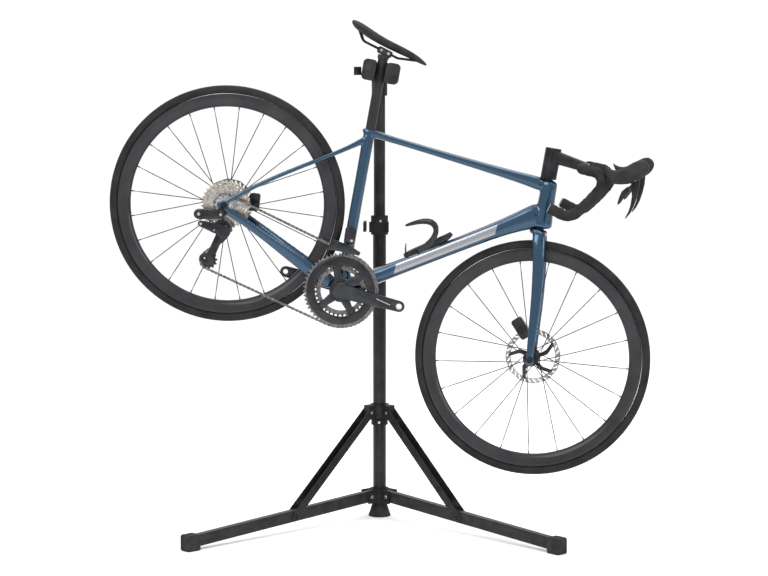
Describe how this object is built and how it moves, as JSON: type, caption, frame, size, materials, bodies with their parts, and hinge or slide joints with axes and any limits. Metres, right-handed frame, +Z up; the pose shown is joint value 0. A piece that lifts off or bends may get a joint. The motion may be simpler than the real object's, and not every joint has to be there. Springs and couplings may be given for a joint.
{
  "type": "road bicycle in repair stand",
  "caption": "Road bicycle with drop bars and disc brakes, held nose down by its seatpost in a folding repair stand.",
  "frame": {"origin": "centre of the underside of the stand's post foot, on the floor", "axes": "+Z up, +X towards the bicycle's front, -Y towards the bicycle's drive side"},
  "size_m": [1.5757, 0.5769, 1.4752],
  "materials": {
    "stand_paint": "satin black powder coat",
    "stand_plastic": "matt moulded nylon",
    "stand_rubber": "matt rubber",
    "frame_paint": "gloss metallic blue green with dark edges",
    "carbon": "satin carbon fibre",
    "steel": "ground steel",
    "spoke_steel": "black bladed steel",
    "saddle_cover": "matt microfibre",
    "tape": "matt wrapped tape",
    "hood_rubber": "matt rubber",
    "alloy_black": "satin black anodised",
    "alloy": "satin",
    "tyre": "matt tread",
    "component_black": "satin black",
    "crank_grey": "dark grey with black edges",
    "chain_steel": "oiled steel"
  },
  "bodies": {
    "stand": {"post_foot": "stand_rubber", "lower_post": "stand_paint", "leg_bracket": "stand_plastic", "height_collar": "stand_plastic"},
    "left_leg": {"leg_tube_left": "stand_paint", "leg_cap_left": "stand_rubber"},
    "right_leg": {"leg_tube_right": "stand_paint", "leg_cap_right": "stand_rubber"},
    "slide_collar": {"brace_collar": "stand_plastic"},
    "left_brace": {"brace_left": "stand_paint"},
    "right_brace": {"brace_right": "stand_paint"},
    "height_clamp_lever": {"height_lever": "stand_plastic"},
    "mast": {"upper_post": "stand_paint", "clamp_head": "stand_plastic"},
    "knob": {"rotation_knob": "stand_plastic"},
    "clamp": {"clamp_body": "stand_paint", "jaw_pad_fixed": "stand_rubber", "frame": "frame_paint", "seatpost": "carbon", "saddle_rails": "steel", "saddle_pad": "saddle_cover", "rear_caliper": "component_black", "rear_axle": "alloy_black", "rd_body": "component_black", "fd_body": "component_black", "bottle_cage": "component_black", "chain": "chain_steel"},
    "sliding_jaw": {"moving_jaw": "stand_paint", "jaw_pad_moving": "stand_rubber"},
    "cam_lever": {"jaw_lever": "stand_plastic"},
    "steering": {"fork": "frame_paint", "cockpit": "alloy_black", "bar_tape": "tape", "hood_left": "hood_rubber", "hood_right": "hood_rubber", "front_caliper": "component_black", "front_axle": "alloy_black"},
    "front_wheel": {"front_tyre": "tyre", "front_rim": "carbon", "front_hub": "alloy_black", "front_spokes": "spoke_steel", "front_rotor": "steel"},
    "rear_wheel": {"rear_tyre": "tyre", "rear_rim": "carbon", "rear_hub": "alloy_black", "rear_spokes": "spoke_steel", "rear_rotor": "steel"},
    "cranks": {"crank_right": "crank_grey", "crank_left": "crank_grey", "chainrings": "crank_grey"},
    "freewheel": {"cassette": "steel"},
    "derailleur_knuckle": {"rd_knuckle": "component_black"},
    "derailleur_cage": {"rd_cage": "alloy"},
    "upper_pulley": {"guide_pulley": "component_black"},
    "lower_pulley": {"tension_pulley": "component_black"},
    "chain_guide": {"fd_cage": "alloy"},
    "left_brake": {"brake_lever_left": "alloy_black"},
    "right_brake": {"brake_lever_right": "alloy_black"},
    "left_paddle": {"shift_paddle_left": "component_black"},
    "right_paddle": {"shift_paddle_right": "component_black"}
  },
  "joints": [
    {"name": "mast_height", "type": "slide", "parent": "stand", "child": "mast", "axis": [0, 0, 1], "range_m": [-0.05, 0.15]},
    {"name": "height_clamp_turn", "type": "hinge", "parent": "stand", "child": "height_clamp_lever", "pos_m": [-0.039, -0.015, 0.87], "axis": [0, 0, 1], "range_deg": [0, 110]},
    {"name": "leg_fold", "type": "hinge", "parent": "stand", "child": "right_leg", "pos_m": [0.03275, -0.03086, 0.064], "axis": [-0.6858, -0.7278, 0], "range_deg": [0, 12]},
    {"name": "left_leg_fold", "type": "hinge", "parent": "stand", "child": "left_leg", "pos_m": [-0.03275, -0.03086, 0.064], "axis": [-0.6858, 0.7278, 0], "range_deg": [-0.5, 12.5]},
    {"name": "collar_slide", "type": "slide", "parent": "stand", "child": "slide_collar", "axis": [0, 0, 1], "range_m": [-0.002, 0.06572]},
    {"name": "right_brace_turn", "type": "hinge", "parent": "slide_collar", "child": "right_brace", "pos_m": [0.03275, -0.03086, 0.318], "axis": [-0.6858, -0.7278, 0], "range_deg": [-1.5, 0.5]},
    {"name": "left_brace_turn", "type": "hinge", "parent": "slide_collar", "child": "left_brace", "pos_m": [-0.03275, -0.03086, 0.318], "axis": [-0.6858, 0.7278, 0], "range_deg": [-1.5, 0.5]},
    {"name": "clamp_rotation", "type": "hinge", "parent": "mast", "child": "clamp", "pos_m": [0, 0, 1.327], "axis": [0, 1, 0], "range_deg": [-120, 5]},
    {"name": "rotation_knob_turn", "type": "hinge", "parent": "mast", "child": "knob", "pos_m": [0, 0.055, 1.327], "axis": [0, 1, 0], "range_deg": [0, 360]},
    {"name": "jaw_lever_turn", "type": "hinge", "parent": "clamp", "child": "cam_lever", "pos_m": [-0.058, -0.131, 1.327], "axis": [0, 0, 1], "range_deg": [0, 110]},
    {"name": "jaw_slide", "type": "slide", "parent": "clamp", "child": "sliding_jaw", "axis": [0.984, 0, -0.1783], "range_m": [0, 0.0121]},
    {"name": "steering_turn", "type": "hinge", "parent": "clamp", "child": "steering", "pos_m": [0.40246, -0.2, 0.51609], "axis": [0.1685, 0, 0.9857], "range_deg": [-52.5, 67.5]},
    {"name": "front_wheel_spin", "type": "hinge", "parent": "steering", "child": "front_wheel", "pos_m": [0.44546, -0.20574, 0.50874], "axis": [0.1287, 0.9914, -0.022], "continuous": true},
    {"name": "rear_wheel_spin", "type": "hinge", "parent": "clamp", "child": "rear_wheel", "pos_m": [-0.43048, -0.2, 0.94941], "axis": [0, 1, 0], "continuous": true},
    {"name": "crank_spin", "type": "hinge", "parent": "clamp", "child": "cranks", "pos_m": [-0.10168, -0.2, 0.70513], "axis": [0, 1, 0], "continuous": true},
    {"name": "cassette_spin", "type": "hinge", "parent": "clamp", "child": "freewheel", "pos_m": [-0.43048, -0.2, 0.94941], "axis": [0, 1, 0], "continuous": true},
    {"name": "rd_shift", "type": "slide", "parent": "clamp", "child": "derailleur_knuckle", "axis": [0, 1, 0], "range_m": [-0.014, 0.007], "stiffness_N_per_m": 400, "deforming": ["chain"]},
    {"name": "rd_cage_swing", "type": "hinge", "parent": "derailleur_knuckle", "child": "derailleur_cage", "pos_m": [-0.43221, -0.2, 0.87585], "axis": [0, 1, 0], "range_deg": [-15, 45], "stiffness_Nm_per_rad": 2, "deforming": ["chain"]},
    {"name": "upper_pulley_spin", "type": "hinge", "parent": "derailleur_cage", "child": "upper_pulley", "pos_m": [-0.43667, -0.2, 0.8848], "axis": [0, 1, 0], "continuous": true},
    {"name": "lower_pulley_spin", "type": "hinge", "parent": "derailleur_cage", "child": "lower_pulley", "pos_m": [-0.47892, -0.2, 0.79188], "axis": [0, 1, 0], "continuous": true},
    {"name": "fd_shift", "type": "slide", "parent": "clamp", "child": "chain_guide", "axis": [0, 1, 0], "range_m": [0, 0.0075], "stiffness_N_per_m": 400, "deforming": ["chain"]},
    {"name": "left_brake_pull", "type": "hinge", "parent": "steering", "child": "left_brake", "pos_m": [0.76832, -0.03148, 1.02326], "axis": [0.1287, 0.9914, -0.022], "range_deg": [0, 18], "stiffness_Nm_per_rad": 1.2, "springref_deg": -11.46},
    {"name": "left_paddle_press", "type": "slide", "parent": "left_brake", "child": "left_paddle", "axis": [-0.1287, -0.9914, 0.022], "range_m": [0, 0.003], "stiffness_N_per_m": 400, "springref_m": -0.001},
    {"name": "right_brake_pull", "type": "hinge", "parent": "steering", "child": "right_brake", "pos_m": [0.71608, -0.434, 1.03219], "axis": [0.1287, 0.9914, -0.022], "range_deg": [0, 18], "stiffness_Nm_per_rad": 1.2, "springref_deg": -11.46},
    {"name": "right_paddle_press", "type": "slide", "parent": "right_brake", "child": "right_paddle", "axis": [0.1287, 0.9914, -0.022], "range_m": [0, 0.003], "stiffness_N_per_m": 400, "springref_m": -0.001}
  ],
  "couplings": [
    {"joint": "left_leg_fold", "follows": "leg_fold", "ratio": 1},
    {"joint": "collar_slide", "follows": "leg_fold", "m_per_rad": 0.30424},
    {"joint": "right_brace_turn", "follows": "leg_fold", "ratio": -0.048676},
    {"joint": "left_brace_turn", "follows": "leg_fold", "ratio": -0.048676},
    {"joint": "jaw_slide", "follows": "jaw_lever_turn", "m_per_rad": 0.0062505},
    {"joint": "cassette_spin", "follows": "crank_spin", "ratio": 3.4667},
    {"joint": "upper_pulley_spin", "follows": "crank_spin", "ratio": -4.3333},
    {"joint": "lower_pulley_spin", "follows": "crank_spin", "ratio": 4.3333}
  ]
}
